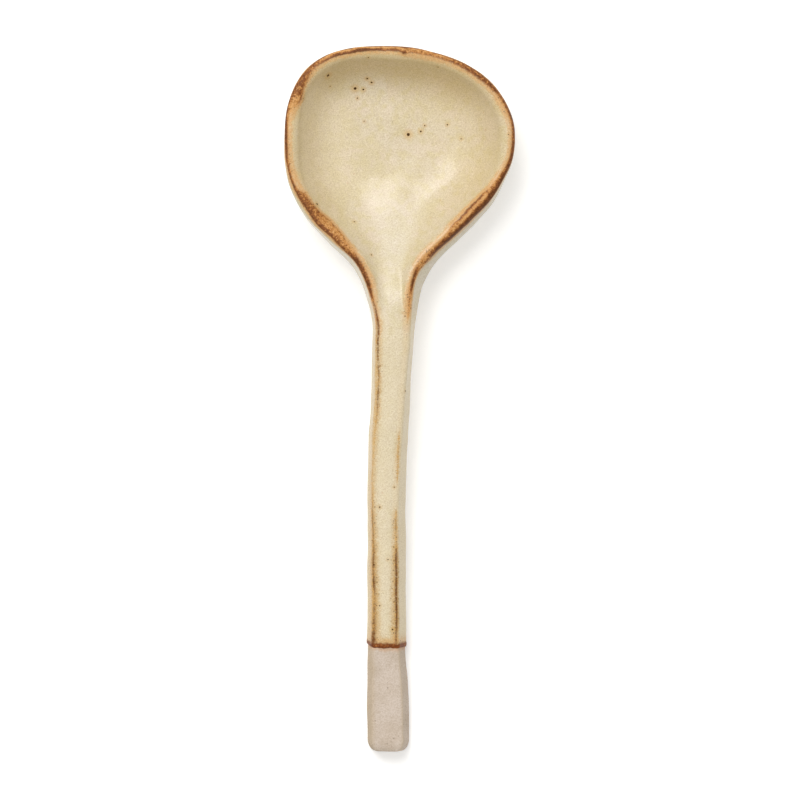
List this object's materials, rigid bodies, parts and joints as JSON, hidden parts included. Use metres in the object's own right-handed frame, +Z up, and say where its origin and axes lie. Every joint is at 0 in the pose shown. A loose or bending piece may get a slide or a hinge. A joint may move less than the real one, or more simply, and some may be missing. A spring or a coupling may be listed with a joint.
{
  "type": "serving spoon",
  "caption": "Hand-built ceramic serving spoon: wide shallow bowl, squared handle, cream glaze breaking to brown along the edges, bare clay handle end.",
  "frame": {"origin": "centre of the spoon's bounding box, on the surface that it lies on", "axes": "+Y along the spoon towards the bowl's tip, +Z up out of the bowl's hollow, +X to the right"},
  "size_m": [0.0588, 0.1804, 0.0168],
  "materials": {
    "stoneware": "matte, fired, unglazed",
    "slip": "matte, fired",
    "cream_glaze": "satin gloss, finely mottled",
    "iron_glaze": "satin gloss, broken brown to ochre"
  },
  "bodies": {
    "root": {"bowl": "stoneware", "handle": "stoneware", "joint_slip": "slip", "top_glaze": "cream_glaze", "under_glaze": "cream_glaze", "rim_band": "iron_glaze", "dip_band": "iron_glaze"}
  },
  "joints": []
}
